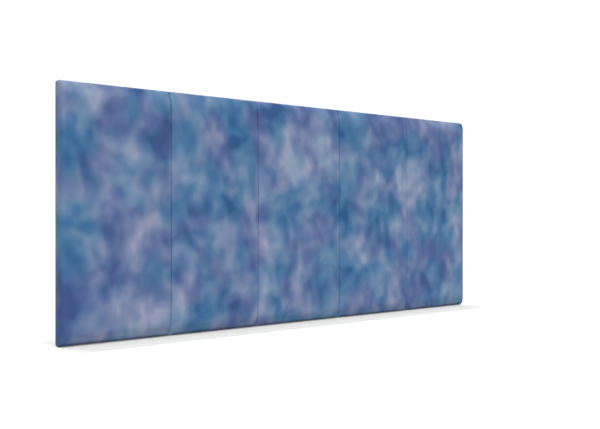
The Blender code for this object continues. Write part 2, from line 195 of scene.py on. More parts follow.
# The cover: five panels of coated fabric sewn edge to edge, drawn down at each seam and
# turned in behind the board.
cover = {
    "thickness": 1.2 * mm,
    "rimWidth": 20 * mm, "rimDepth": 29 * mm,       # the edge rolls over in a quarter of an ellipse
    "cornerRadius": 14 * mm,
    "leastDepth": 21 * mm, "leastBlend": 2.5 * mm,  # the cover stays in front of the board's front edge
    "crown": 0.3 * mm,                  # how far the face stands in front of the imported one, before it swells
    "endBevel": (19 * mm, 56 * mm),     # the face leans back towards each edge: drop, width
    "sideBevel": (10 * mm, 40 * mm),
    "bevelBlend": 8 * mm, "mitre": 5,   # a higher mitre is sharper where two bevels meet
    "shoulder": 8.5 * mm,               # radius at which a panel turns down into its seam
    "pull": 7.0 * mm, "pullReach": 16 * mm,
    "endPull": 9 * mm, "endPullReach": 110 * mm,
    # a crease runs out just before the edge, and this share of it is left there
    "seamEnd": 5 * mm, "seamEndReach": 9 * mm, "seamEndLeft": 0.12,
    "notch": 0.9 * mm, "notchReach": 2.2 * mm,      # the seam where it runs round the edge
    "skirt": 8 * mm, "leastSkirt": 1 * mm,          # sewing allowance
    "returnWidth": 55 * mm, "returnCorner": 8 * mm, "returnEase": 150 * mm,
    "backEdgeRadius": 2.5 * mm, "backEdgeSteps": 3,
    "gather": 1.0 * mm, "gatherFrom": 0.7,          # folds round each corner, over the last of the return
    "rawWave": 1.6 * mm,                # how far from straight the raw edge is cut
    "rawWaves": ((0.6, 21, 17), (0.4, 47, -39)),    # each wave's share, and its turn per metre in x and z
    # where the rows of points lie across each strip of cover
    "skirtRows": (0.25, 0.6, 1.0),
    "sideRows": (0.2, 0.4, 0.6, 0.8, 1.0),
    "returnRows": (0.15, 0.35, 0.6, 0.8, 1.0),
    "finest": 1.6 * mm, "coarsest": 15 * mm, "growth": 1.28, "arcSteps": 6,
    "swell": 5 * mm,                    # how far the filling may push the face out
    "heldEdge": 12 * mm, "freeFrom": 52 * mm,
    "pressure": 4, "swellFrames": 20,
    "mass": 0.4, "stretchStiffness": 15, "shearStiffness": 5, "bendStiffness": 2, "quality": 5,
    "seamInfluence": 14 * mm,           # how far puckers reach from a seam
}


def arcDrop(radius, distance):
    # how far a quarter-round edge has fallen at a distance in from the edge
    reach = np.clip(radius - distance, 0, radius)
    return radius - np.sqrt(np.maximum(radius**2 - reach**2, 0))


def rimDrop(distance, inset):
    # how far the rolled edge has fallen at a distance in from the outline
    reach = np.clip(1 - distance / (cover["rimWidth"] - inset), 0, 1)
    return (cover["rimDepth"] - inset) * (1 - np.sqrt(1 - reach**2))


def bevelDrop(distance, bevel):
    # how far the face has leaned back at a distance in from an edge; the lean starts softly
    drop, width = bevel
    blend = cover["bevelBlend"]
    return drop / width * blend * np.logaddexp(0, (width - distance) / blend)


def arcDistances(radius, steps):
    # distances in from an edge that are evenly spaced round a quarter circle
    return [radius * (1 - math.cos(math.pi / 2 * step / steps)) for step in range(steps + 1)]


def gradedDistances(start, total, spacing):
    # from an edge's end to the middle, in steps that grow
    found, step, place = [], spacing["finest"], start
    while place + step < total:
        place += step
        found.append(place)
        step = min(step * cover["growth"], spacing["coarsest"])
    return found


def rimDistance(across, up, radius):
    # distance in from an outline whose corners are round
    corner = radius - np.hypot(np.maximum(radius - across, 0), np.maximum(radius - up, 0))
    return np.where((across < radius) & (up < radius), np.maximum(corner, 0), np.minimum(across, up))


def panelSpan(number):
    # left and right x of a channel, and whether each is a seam
    leftIsSeam, rightIsSeam = number > 1, number < channelCount
    left = seamPlaces[number - 2] if leftIsSeam else padLeft
    right = seamPlaces[number - 1] if rightIsSeam else padRight
    return left, right, leftIsSeam, rightIsSeam


def faceDepth(x, z, span, inset=0.0):
    # depth out from the wall of the padded face, or of the surface this far inside it
    left, right, leftIsSeam, rightIsSeam = span
    across = halfWidth - np.abs(x - padCentre.x)
    up = halfHeight - np.abs(z - padCentre.z)
    depth = -padFront + cover["crown"] - inset
    bevels = bevelDrop(up, cover["endBevel"]), bevelDrop(across, cover["sideBevel"])
    depth = depth - sum(drop ** cover["mitre"] for drop in bevels) ** (1 / cover["mitre"])
    rim = rimDistance(across - inset, up - inset, cover["cornerRadius"] - inset)
    depth = depth - rimDrop(rim, inset)
    pull = cover["pull"] + cover["endPull"] * np.exp(-up / cover["endPullReach"])
    ending = np.clip((up - cover["seamEnd"]) / cover["seamEndReach"], 0, 1)
    crease = cover["seamEndLeft"] + (1 - cover["seamEndLeft"]) * ending**2 * (3 - 2 * ending)
    for isSeam, distance in ((leftIsSeam, x - left), (rightIsSeam, right - x)):
        if isSeam:
            depth = depth - crease * pull * np.exp(-distance / cover["pullReach"])
            depth = depth - crease * arcDrop(cover["shoulder"] - inset, distance - inset)
    least, blend = cover["leastDepth"] - inset, cover["leastBlend"]
    return least + blend * np.logaddexp(0, (depth - least) / blend)


def panelColumns(span, inset, spacing):
    # x of each column of points; spacing is the dictionary that says how close they lie
    left, right, leftIsSeam, rightIsSeam = span
    half = (right - left) / 2
    columns = []
    for isSeam, edge, inward in ((leftIsSeam, left, 1), (rightIsSeam, right, -1)):
        radius = (cover["shoulder"] if isSeam else cover["rimWidth"]) - inset
        steps = [inset + step for step in arcDistances(radius, spacing["arcSteps"])]
        steps += gradedDistances(radius + inset, half, spacing)
        columns += [edge + inward * step for step in steps]
    return sorted(columns)


def seamNotch(x, span):
    # how far the outline is drawn in where a seam goes round the edge
    left, right, leftIsSeam, rightIsSeam = span
    drawn = cover["notch"] * math.exp(-abs(x - left) / cover["notchReach"]) if leftIsSeam else 0
    drawn += cover["notch"] * math.exp(-abs(right - x) / cover["notchReach"]) if rightIsSeam else 0
    return drawn


def panelRows(x, span, inset, spacing):
    # z of each point of the column at x, from the top down
    across = halfWidth - abs(x - padCentre.x)
    rounding = float(arcDrop(cover["cornerRadius"] - inset, across - inset))
    end = halfHeight - inset - rounding - seamNotch(x, span)
    half = [end - step for step in arcDistances(cover["rimWidth"] - inset, spacing["arcSteps"])]
    start = cover["cornerRadius"] + cover["rimWidth"]
    half += [halfHeight - step for step in gradedDistances(start, halfHeight, spacing)]
    return [padCentre.z + z for z in half] + [padCentre.z] + [padCentre.z - z for z in reversed(half)]


def inwardAt(place):
    # direction towards the pad's middle from a point on its outline
    radius = cover["cornerRadius"]
    x, z = place[0] - padCentre.x, place[2] - padCentre.z
    over = Vector((max(abs(x) - (halfWidth - radius), 0), 0, max(abs(z) - (halfHeight - radius), 0)))
    if over.length < 1e-6:
        over = Vector((1, 0, 0)) if halfWidth - abs(x) < halfHeight - abs(z) else Vector((0, 0, 1))
    over.normalize()
    return Vector((-math.copysign(over.x, x), 0, -math.copysign(over.z, z)))


def easedIn(value, half):
    # places along an edge close up towards the corner: the raw edge is shorter than the outline
    start = half - cover["returnEase"]
    if value <= start:
        return value
    shrink = cover["returnWidth"] + cover["returnCorner"] - cover["cornerRadius"]
    reach = cover["returnEase"] - cover["cornerRadius"]
    return start + min(value - start, reach) * (reach - shrink) / reach


def returnRows(places):
    # down the side of the pad, round the board's back edge, and in behind the board
    radius = cover["backEdgeRadius"]
    sideEnd = padBack - radius
    rows = [[(p[0], p[1] + (sideEnd - p[1]) * share, p[2]) for p in places] for share in cover["sideRows"]]
    for step in range(1, cover["backEdgeSteps"] + 1):
        angle = math.pi / 2 * step / cover["backEdgeSteps"]
        row = []
        for p in places:
            q = Vector((p[0], 0, p[2])) + inwardAt(p) * radius * (1 - math.cos(angle))
            row.append((q.x, sideEnd + radius * math.sin(angle), q.z))
        rows.append(row)
    corner = cover["returnCorner"]
    edgeX, edgeZ = halfWidth - cover["returnWidth"], halfHeight - cover["returnWidth"]
    goals = []
    for index, p in enumerate(places):
        x, z = p[0] - padCentre.x, p[2] - padCentre.z
        inward = inwardAt(p)
        wave = cover["rawWave"] * sum(
            share * math.sin(turnX * p[0] + turnZ * p[2]) for share, turnX, turnZ in cover["rawWaves"])
        fold = 0.0
        if min(abs(inward.x), abs(inward.z)) > 1e-4:
            goal = (edgeX - corner + corner * abs(inward.x), edgeZ - corner + corner * abs(inward.z))
            fold = cover["gather"] * (index % 2)
        elif abs(inward.x) > abs(inward.z):
            goal = (edgeX + wave, easedIn(abs(z), halfHeight))
        else:
            goal = (easedIn(abs(x), halfWidth), edgeZ + wave)
        goals.append((math.copysign(goal[0], x), math.copysign(goal[1], z), fold))
    start = cover["gatherFrom"]
    for share in cover["returnRows"]:
        row = []
        for p, goal in zip(places, goals):
            q = Vector((p[0], 0, p[2])) + inwardAt(p) * radius
            q = q.lerp(Vector((padCentre.x + goal[0], 0, padCentre.z + goal[1])), share)
            row.append((q.x, padBack + goal[2] * max(share - start, 0) / (1 - start), q.z))
        rows.append(row)
    return rows


def makePanelSheet(number):
    # the cover of one channel as a sheet: its face, the sewing allowance in each crease,
    # and the turned-in edges that go round the board
    span = panelSpan(number)
    left, right, leftIsSeam, rightIsSeam = span
    bm = bmesh.new()
    free = bm.verts.layers.float.new("free")            # how freely the filling pushes a point out
    seamNear = bm.verts.layers.float.new("seamNear")    # where the coated fabric puckers
    grid = []
    for x in panelColumns(span, 0.0, cover):
        column = []
        for z in panelRows(x, span, 0.0, cover):
            vert = bm.verts.new((x, -float(faceDepth(x, z, span)), z))
            fromEdge = min(halfHeight - abs(z - padCentre.z), x - left, right - x)
            freedom = (fromEdge - cover["heldEdge"]) / (cover["freeFrom"] - cover["heldEdge"])
            vert[free] = min(max(freedom, 0), 1)
            fromSeam = min(x - left if leftIsSeam else 1, right - x if rightIsSeam else 1)
            vert[seamNear] = math.exp(-((fromSeam / cover["seamInfluence"]) ** 2))
            column.append(vert)
        grid.append(column)
    for one, other in zip(grid, grid[1:]):
        for row in range(len(one) - 1):
            bm.faces.new((one[row], one[row + 1], other[row + 1], other[row]))

    def addStrip(edge, rows):
        # rows of faces that carry on from an edge of the sheet
        rows = [edge] + [[bm.verts.new(place) for place in row] for row in rows]
        for one, other in zip(rows, rows[1:]):
            for index in range(len(one) - 1):
                bm.faces.new((one[index], other[index], other[index + 1], one[index + 1]))

    for isSeam, column in ((leftIsSeam, grid[0]), (rightIsSeam, grid[-1][::-1])):
        if isSeam:
            rows = []
            for share in cover["skirtRows"]:
                row = []
                for vert in column:
                    room = -vert.co.y - cover["leastDepth"] + cover["leastSkirt"]
                    row.append((vert.co.x, vert.co.y + share * min(cover["skirt"], room), vert.co.z))
                rows.append(row)
            addStrip(column, rows)

    top = [column[0] for column in grid]
    bottom = [column[-1] for column in reversed(grid)]
    if not rightIsSeam:
        edges = [top + grid[-1][1:-1] + bottom]
    elif not leftIsSeam:
        edges = [bottom + grid[0][-2:0:-1] + top]
    else:
        edges = [top, bottom]
    for edge in edges:
        addStrip(edge, returnRows([tuple(vert.co) for vert in edge]))
    bmesh.ops.recalc_face_normals(bm, faces=bm.faces)
    mesh = bpy.data.meshes.new(f"cover channel {number}")
    bm.to_mesh(mesh)
    bm.free()
    return mesh, len(grid), len(grid[0])


def newPiece(name, mesh):
    piece = bpy.data.objects.new(name, mesh)
    bpy.context.scene.collection.objects.link(piece)
    return piece


def only(piece):
    # this piece alone is selected and active
    for other in bpy.context.selected_objects:
        other.select_set(False)
    piece.select_set(True)
    bpy.context.view_layer.objects.active = piece


def applyAll(piece):
    # every modifier becomes part of the mesh
    only(piece)
    for modifier in list(piece.modifiers):
        bpy.ops.object.modifier_apply(modifier=modifier.name)


def swellPanel(piece, columnCount, rowCount):
    # the filling pushes the face out: the face alone, as cloth under a little pressure, held at its
    # edges; how it moves is then given to the panel, scaled down to what foam allows
    mesh = piece.data
    count = columnCount * rowCount
    places = [vert.co.copy() for vert in mesh.vertices[:count]]
    faces = []
    for column in range(columnCount - 1):
        for row in range(rowCount - 1):
            corner = column * rowCount + row
            faces.append((corner, corner + 1, corner + rowCount + 1, corner + rowCount))
    face = bpy.data.meshes.new("face")
    face.from_pydata(places, [], faces)
    if face.polygons[len(faces) // 2].normal.y > 0:
        face.flip_normals()
    cloth = newPiece("face", face)
    pin = cloth.vertex_groups.new(name="pin")
    for index, value in enumerate(mesh.attributes["free"].data[:count]):
        pin.add([index], 1 - value.value, "REPLACE")
    modifier = cloth.modifiers.new("cloth", "CLOTH")
    settings = modifier.settings
    settings.quality = cover["quality"]
    settings.mass = cover["mass"]
    settings.tension_stiffness = settings.compression_stiffness = cover["stretchStiffness"]
    settings.shear_stiffness = cover["shearStiffness"]
    settings.bending_stiffness = cover["bendStiffness"]
    settings.vertex_group_mass = "pin"
    settings.use_pressure = True
    settings.uniform_pressure_force = cover["pressure"]
    settings.effector_weights.gravity = 0
    modifier.collision_settings.use_collision = False
    modifier.collision_settings.use_self_collision = False
    scene = bpy.context.scene
    for frameNumber in range(1, cover["swellFrames"] + 1):
        scene.frame_set(frameNumber)
    applyAll(cloth)
    scene.frame_set(1)
    moves = [after.co - before for after, before in zip(face.vertices, places)]
    most = max(move.length for move in moves)
    share = min(1, cover["swell"] / max(most, 1e-6))
    for vert, move in zip(mesh.vertices, moves):
        vert.co += move * share
    mesh.update()
    bpy.data.objects.remove(cloth)
    print(f"{piece.name}: swelled, {most / mm:.1f} mm before the cap, {count} points")


def makeCover(material, backing):
    for number in range(1, channelCount + 1):
        mesh, columnCount, rowCount = makePanelSheet(number)
        piece = newPiece(f"cover_channel_{number}", mesh)
        swellPanel(piece, columnCount, rowCount)
        mesh.attributes.remove(mesh.attributes["free"])
        for part in (material, backing):
            mesh.materials.append(part)
        subdivision = piece.modifiers.new("smooth", "SUBSURF")
        subdivision.levels = subdivision.render_levels = 1
        solid = piece.modifiers.new("thickness", "SOLIDIFY")
        solid.thickness = cover["thickness"]
        solid.offset = -1
        solid.material_offset = 1
        solid.material_offset_rim = 1
        applyAll(piece)
        mesh.shade_smooth()
        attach(piece, "pad")
        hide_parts(f"cover_panel_{number}")
    print("cover ready")


# Coated fabric: vinyl calendered on to a knitted back and then printed, so the print is cloudy and
# soft-edged, and the face has a fine satin grain that spreads its shine.
coating = {
    "tealStops": (
        (0.0, "#1C5484"), (0.22, "#346A97"), (0.45, "#4D78A1"),
        (0.65, "#6285A9"), (0.85, "#7892B2"), (1.0, "#889EB8")),
    "lilacStops": (
        (0.0, "#384F86"), (0.22, "#4B6093"), (0.45, "#5F719F"),
        (0.65, "#7483A9"), (0.85, "#8891B2"), (1.0, "#999FBA")),
    "lean": 16,                         # degrees that the clouds lean
    "stretch": 0.86,                    # clouds are taller than wide
    # noises: size, detail, and how far each is moved so that no two agree
    "clouds": (146 * mm, 1.4, 3.1),
    "patches": (285 * mm, 0.0, 7.7),
    "flecks": (66 * mm, 0.6, 11.3),
    "hue": (175 * mm, 1.0, 19.0),       # where the cloth is teal and where lilac
    "unevenness": (28 * mm, 1.0, 5.0),  # of the puckers
    "movedAlong": (1, 0.7, -0.4),
    "shares": {"clouds": 0.66, "patches": 0.30, "flecks": 0.30},
    "warpSize": 220 * mm, "warp": 46 * mm,          # how far the clouds' outlines wander
    "spread": 0.205,                    # half the range of the mixed noise that the ramps cover
    "hueRange": (0.33, 0.67),
    "roughness": 0.52, "gloss": 0.30,   # a matt lacquer over the print
    "grainSize": 1.6 * mm,              # the real grain is about 0.5 mm; drawn coarser so that it shows
    "grainDepth": 0.05 * mm,
    "puckerPitch": 7 * mm, "puckerDepth": 0.35 * mm, "puckerStray": 9.0,    # stray in radians
}


def coatedFabric():
    material, tree, shader = newMaterial("printed PVC coated fabric")
    place = addNode(tree, "ShaderNodeTexCoord").outputs["Object"]
    turned = addNode(tree, "ShaderNodeMapping", {}, {
        "Vector": place, "Rotation": (0, math.radians(coating["lean"]), 0),
        "Scale": (1, 1, coating["stretch"])}).outputs["Vector"]

    # the clouds' outlines wander
    wander = addNode(tree, "ShaderNodeTexNoise", {}, {
        "Vector": turned, "Scale": 1 / coating["warpSize"], "Detail": 1.0})
    centred = addNode(tree, "ShaderNodeVectorMath", {"operation": "SUBTRACT"}, {
        0: wander.outputs["Color"], 1: (0.5, 0.5, 0.5)})
    warped = addNode(tree, "ShaderNodeVectorMath", {"operation": "MULTIPLY_ADD"}, {
        0: centred.outputs["Vector"], 1: (2 * coating["warp"],) * 3, 2: turned}).outputs["Vector"]

    noises = {}
    for name, vector in (
            ("clouds", warped), ("patches", warped), ("flecks", warped), ("hue", warped),
            ("unevenness", place)):
        size, detail, offset = coating[name]
        moved = addNode(tree, "ShaderNodeVectorMath", {"operation": "ADD"}, {
            0: vector, 1: [part * offset for part in coating["movedAlong"]]})
        noises[name] = addNode(tree, "ShaderNodeTexNoise", {}, {
            "Vector": moved.outputs["Vector"], "Scale": 1 / size, "Detail": detail}).outputs["Fac"]
    total = 0.5 * (1 - sum(coating["shares"].values()))
    for name, share in coating["shares"].items():
        total = addNode(tree, "ShaderNodeMath", {"operation": "MULTIPLY_ADD"}, {
            0: noises[name], 1: share, 2: total}).outputs["Value"]
    spread = addNode(tree, "ShaderNodeMapRange", {}, {
        "Value": total, "From Min": 0.5 - coating["spread"],
        "From Max": 0.5 + coating["spread"]}).outputs["Result"]
    teal, lilac = [
        fillRamp(addNode(tree, "ShaderNodeValToRGB", {}, {"Fac": spread}), coating[stops]).outputs["Color"]
        for stops in ("tealStops", "lilacStops")]
    hue = addNode(tree, "ShaderNodeMapRange", {"interpolation_type": "SMOOTHSTEP"}, {
        "Value": noises["hue"], "From Min": coating["hueRange"][0], "From Max": coating["hueRange"][1]})
    blend = addNode(tree, "ShaderNodeMix", {"data_type": "RGBA"}, {
        "Factor": hue.outputs["Result"], 6: teal, 7: lilac})

    # fine grain all over, and puckers beside the seams
    grain = addNode(tree, "ShaderNodeTexNoise", {}, {
        "Vector": place, "Scale": 1 / coating["grainSize"], "Detail": 2.0, "Roughness": 0.6})
    height = addNode(tree, "ShaderNodeSeparateXYZ", {}, {"Vector": place}).outputs["Z"]
    along = addNode(tree, "ShaderNodeMath", {"operation": "MULTIPLY"}, {
        0: height, 1: 2 * math.pi / coating["puckerPitch"]})
    phase = addNode(tree, "ShaderNodeMath", {"operation": "MULTIPLY_ADD"}, {
        0: noises["unevenness"], 1: coating["puckerStray"], 2: along.outputs["Value"]})
    wave = addNode(tree, "ShaderNodeMath", {"operation": "SINE"}, {0: phase.outputs["Value"]})
    near = addNode(tree, "ShaderNodeAttribute", {"attribute_name": "seamNear"})
    pucker = addNode(tree, "ShaderNodeMath", {"operation": "MULTIPLY"}, {
        0: wave.outputs["Value"], 1: near.outputs["Fac"]})
    grainBump = addNode(tree, "ShaderNodeBump", {}, {
        "Height": grain.outputs["Fac"], "Distance": coating["grainDepth"], "Strength": 1.0})
    puckerBump = addNode(tree, "ShaderNodeBump", {}, {
        "Height": pucker.outputs["Value"], "Distance": coating["puckerDepth"], "Strength": 0.5,
        "Normal": grainBump.outputs["Normal"]})
    setInputs(tree, shader, {
        "Base Color": blend.outputs[2], "Normal": puckerBump.outputs["Normal"],
        "Roughness": coating["roughness"], "Specular IOR Level": coating["gloss"]})
    return material


knit = {
    "colours": ((0.1, "#D6D3CB"), (0.9, "#B5B1A6")),
    "loop": 1.5 * mm, "depth": 0.2 * mm,
    "roughness": 0.95,
}


def knitBacking():
    # polyester knit: off-white, matt, with the loops' fine ribs
    material, tree, shader = newMaterial("knitted polyester backing")
    place = addNode(tree, "ShaderNodeTexCoord").outputs["Object"]
    loops = addNode(tree, "ShaderNodeTexVoronoi", {}, {
        "Vector": place, "Scale": 1 / knit["loop"]}).outputs["Distance"]
    tones = fillRamp(addNode(tree, "ShaderNodeValToRGB", {}, {"Fac": loops}), knit["colours"])
    bump = addNode(tree, "ShaderNodeBump", {"invert": True}, {"Height": loops, "Distance": knit["depth"]})
    setInputs(tree, shader, {
        "Base Color": tones.outputs["Color"], "Normal": bump.outputs["Normal"],
        "Roughness": knit["roughness"]})
    return material


makeCover(coatedFabric(), knitBacking())


# The filling: in each channel a block of soft foam wrapped over a block of firm foam.
filling = {
    "inset": 2.2 * mm,                  # in from the cover's face
    "firmFront": -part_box("foam_core_1")[0].y,
    "back": boardFront + 0.3 * mm,
    "betweenLayers": 0.3 * mm,
    "leastSoft": 1.5 * mm,              # the soft layer where a seam or an edge presses it thinnest
    "finest": 5 * mm, "coarsest": 40 * mm, "arcSteps": 3,
    "sharpFrom": 50,                    # degrees
    "softFill": 0.9, "firmFill": 1.0,
    "softColours": ((0.3, "#EDE5CF"), (0.7, "#D9CBA6")),
    "yellowingSize": 111 * mm,
    "softCell": 1.6 * mm, "cellDepth": 0.4 * mm,
    "chipColours": (
        (0.0, "#4B4E52"), (0.35, "#6D7276"), (0.6, "#8C9092"), (0.8, "#A7A39A"), (1.0, "#5F7186")),
    "chipSize": 9 * mm, "chipDepth": 0.6 * mm,
}


def softFoam():
    # cut polyurethane foam: cream, quite matt, open cells on the cut face
    material, tree, shader = newMaterial("open-cell polyurethane foam")
    place = addNode(tree, "ShaderNodeTexCoord").outputs["Object"]
    cells = addNode(tree, "ShaderNodeTexVoronoi", {}, {"Vector": place, "Scale": 1 / filling["softCell"]})
    yellowing = addNode(tree, "ShaderNodeTexNoise", {}, {
        "Vector": place, "Scale": 1 / filling["yellowingSize"], "Detail": 3.0}).outputs["Fac"]
    tones = fillRamp(addNode(tree, "ShaderNodeValToRGB", {}, {"Fac": yellowing}), filling["softColours"])
    bump = addNode(tree, "ShaderNodeBump", {}, {
        "Height": cells.outputs["Distance"], "Distance": filling["cellDepth"]})
    setInputs(tree, shader, {
        "Base Color": tones.outputs["Color"], "Normal": bump.outputs["Normal"], "Roughness": 1.0})
    return material


def firmFoam():
    # bonded foam: chips of many greys pressed together
    material, tree, shader = newMaterial("bonded chip foam")
    place = addNode(tree, "ShaderNodeTexCoord").outputs["Object"]
    chips = addNode(tree, "ShaderNodeTexVoronoi", {}, {"Vector": place, "Scale": 1 / filling["chipSize"]})
    shade = addNode(tree, "ShaderNodeSeparateColor", {}, {"Color": chips.outputs["Color"]}).outputs["Red"]
    tones = fillRamp(addNode(tree, "ShaderNodeValToRGB", {}, {"Fac": shade}), filling["chipColours"])
    tones.color_ramp.interpolation = "CONSTANT"
    bump = addNode(tree, "ShaderNodeBump", {"invert": True}, {
        "Height": chips.outputs["Distance"], "Distance": filling["chipDepth"]})
    setInputs(tree, shader, {
        "Base Color": tones.outputs["Color"], "Normal": bump.outputs["Normal"], "Roughness": 1.0})
    return material


def makeFoamBlock(name, number, frontAt, backAt, material, node):
    # a closed block whose front and back follow the padded face as the two functions say
    span = panelSpan(number)
    inset = filling["inset"]
    bm = bmesh.new()
    fronts, backs = [], []
    for x in panelColumns(span, inset, filling):
        front, back = [], []
        for z in panelRows(x, span, inset, filling):
            face = float(faceDepth(x, z, span, inset))
            front.append(bm.verts.new((x, -frontAt(face), z)))
            back.append(bm.verts.new((x, -backAt(face), z)))
        fronts.append(front)
        backs.append(back)
    for grid in (fronts, backs):
        for one, other in zip(grid, grid[1:]):
            for row in range(len(one) - 1):
                bm.faces.new((one[row], one[row + 1], other[row + 1], other[row]))

    def outline(grid):
        first, last = [column[0] for column in grid], [column[-1] for column in grid[-2::-1]]
        return first + grid[-1][1:] + last + grid[0][-2:0:-1]

    around = list(zip(outline(fronts), outline(backs)))
    for one, other in zip(around, around[1:] + around[:1]):
        bm.faces.new((one[0], other[0], other[1], one[1]))
    bmesh.ops.recalc_face_normals(bm, faces=bm.faces)
    mesh = bpy.data.meshes.new(name)
    bm.to_mesh(mesh)
    bm.free()
    mesh.materials.append(material)
    piece = newPiece(name, mesh)
    softened = piece.modifiers.new("smooth", "SUBSURF")
    softened.levels = softened.render_levels = 1
    applyAll(piece)
    mesh.shade_smooth()
    mesh.set_sharp_from_angle(angle=math.radians(filling["sharpFrom"]))
    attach(piece, "pad")
    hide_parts(node)


def makeFilling():
    soft, firm = softFoam(), firmFoam()
    least, gap = filling["leastSoft"], filling["betweenLayers"]
    for number in range(1, channelCount + 1):
        makeFoamBlock(
            f"soft_foam_{number}", number, lambda face: face,
            lambda face: min(filling["firmFront"] + gap, face - least),
            soft, f"foam_top_{number}")
        makeFoamBlock(
            f"firm_foam_{number}", number, lambda face: min(filling["firmFront"], face - least - gap),
            lambda face: filling["back"],
            firm, f"foam_core_{number}")
    print("filling ready")


# Tapes sewn to the seams and stapled to the board: they draw each crease down.
tape = {
    "thickness": 0.8 * mm,
    "belowSeam": 2.6 * mm,
    "endMargin": 15 * mm,
    "step": 30 * mm, "rowsAcross": 4,
    # the darker colour is painted shade between the threads, the lighter one a painted highlight on their
    # crowns
    "colours": ((0.2, "#C9C6BC"), (0.9, "#EFEDE6")),
    "threadPitch": 1.2 * mm, "threadDepth": 0.15 * mm,
    "roughness": 0.6,
}


def wovenTape():
    # plain woven polypropylene: off-white; a painted highlight on each thread's crown and painted shade in the
    # hollows between threads stand in for its faint lustre
    material, tree, shader = newMaterial("woven polypropylene tape")
    place = addNode(tree, "ShaderNodeTexCoord").outputs["Object"]
    lengthwise, crosswise = [
        addNode(tree, "ShaderNodeTexWave", {"wave_type": "BANDS", "bands_direction": direction}, {
            "Vector": place, "Scale": math.pi / 10 / tape["threadPitch"]}).outputs["Fac"]
        for direction in ("Y", "Z")]
    weave = addNode(tree, "ShaderNodeMath", {"operation": "MAXIMUM"}, {
        0: lengthwise, 1: crosswise}).outputs["Value"]
    # the colour follows the weave's height: painted highlight on the raised threads, painted shade between them
    tones = fillRamp(addNode(tree, "ShaderNodeValToRGB", {}, {"Fac": weave}), tape["colours"])
    bump = addNode(tree, "ShaderNodeBump", {}, {"Height": weave, "Distance": tape["threadDepth"]})
    setInputs(tree, shader, {
        "Base Color": tones.outputs["Color"], "Normal": bump.outputs["Normal"],
        "Roughness": tape["roughness"]})
    return material


def makeTapes(material):
    for number, seam in enumerate(seamPlaces, 1):
        name = f"pull_tape_{number}"
        span = panelSpan(number)
        length = 2 * (halfHeight - tape["endMargin"])
        count = round(length / tape["step"])
        bpy.ops.mesh.primitive_grid_add(x_subdivisions=count, y_subdivisions=tape["rowsAcross"], size=1)
        piece = bpy.context.object
        piece.name = piece.data.name = name
        mesh = piece.data
        for vert in mesh.vertices:
            z = padCentre.z + vert.co.x * length
            top = float(faceDepth(seam, z, span)) - tape["belowSeam"]
            share = vert.co.y + 0.5
            vert.co = (seam, -(filling["back"] + (top - filling["back"]) * share), z)
        solid = piece.modifiers.new("thickness", "SOLIDIFY")
        solid.thickness = tape["thickness"]
        solid.offset = 0
        applyAll(piece)
        mesh.materials.append(material)
        mesh.shade_flat()
        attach(piece, "pad")
        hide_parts(f"pull_strip_{number}")
    print("tapes ready")


makeFilling()
makeTapes(wovenTape())


# Staples hold the turned-in cover to the back of the board.
staple = {
    "crown": 12 * mm, "leg": 3.2 * mm, "wire": 1.0 * mm, "flat": 0.6 * mm,
    "edgeRound": 0.2 * mm,
    "proud": 0.35,                      # how far the crown's middle stands off the cloth, in wire thicknesses
    "pitch": 38 * mm,
    "rowIn": 40 * mm,                   # from the pad's outline to the row
    "clearOfCorner": 62 * mm,
    "sway": 9, "wander": 1.6 * mm,      # a hand gun never sets two alike: degrees, and distance
    "seed": 11,
    "colours": ((0.35, "#B9BCBE"), (0.65, "#DADCDC")),
    "spotSize": 1.11 * mm, "roughness": (0.28, 0.45),
}


def galvanisedSteel():
    # galvanised wire: pale grey, a satin shine with fine spots
    material, tree, shader = newMaterial("galvanised steel wire")
    place = addNode(tree, "ShaderNodeTexCoord").outputs["Object"]
    spots = addNode(tree, "ShaderNodeTexNoise", {}, {
        "Vector": place, "Scale": 1 / staple["spotSize"], "Detail": 2.0}).outputs["Fac"]
    tones = fillRamp(addNode(tree, "ShaderNodeValToRGB", {}, {"Fac": spots}), staple["colours"])
    rough = addNode(tree, "ShaderNodeMapRange", {}, {
        "Value": spots, "To Min": staple["roughness"][0], "To Max": staple["roughness"][1]})
    setInputs(tree, shader, {
        "Base Color": tones.outputs["Color"], "Roughness": rough.outputs["Result"], "Metallic": 1.0})
    return material


def pickFaces(mesh, test):
    # in edit mode: only the faces that pass the test are selected
    bm = bmesh.from_edit_mesh(mesh)
    for face in bm.faces:
        face.select_set(False)
    for face in bm.faces:
        if test(face):
            face.select_set(True)
    bm.select_flush_mode()
    bmesh.update_edit_mesh(mesh)


def makeFirstStaple():
    # a flat crown with two legs, lying along x with the legs towards the board
    for other in bpy.context.selected_objects:
        other.select_set(False)
    bpy.ops.mesh.primitive_cube_add(size=1, location=(0, 0, 0))
    piece = bpy.context.object
    piece.scale = (staple["crown"], staple["flat"], staple["wire"])
    bpy.ops.object.transform_apply(location=False, rotation=False, scale=True)
    bpy.ops.object.mode_set(mode="EDIT")
    legInner = staple["crown"] / 2 - staple["flat"]
    for x in (-legInner, legInner):
        bpy.ops.mesh.select_all(action="SELECT")
        bpy.ops.mesh.bisect(plane_co=(x, 0, 0), plane_no=(1, 0, 0))
    pickFaces(piece.data, lambda face: face.normal.y < -0.9 and abs(face.calc_center_median().x) > legInner)
    bpy.ops.mesh.extrude_region_move(TRANSFORM_OT_translate={"value": (0, -staple["leg"], 0)})
    bm = bmesh.from_edit_mesh(piece.data)
    for edge in bm.edges:
        edge.select_set(False)
    for edge in bm.edges:
        if all(vert.co.y > 0 and abs(vert.co.x) > legInner + 0.1 * mm for vert in edge.verts):
            edge.select_set(True)
    bmesh.update_edit_mesh(piece.data)
    bpy.ops.mesh.bevel(offset=staple["edgeRound"], segments=1)
    bpy.ops.object.mode_set(mode="OBJECT")
    return piece


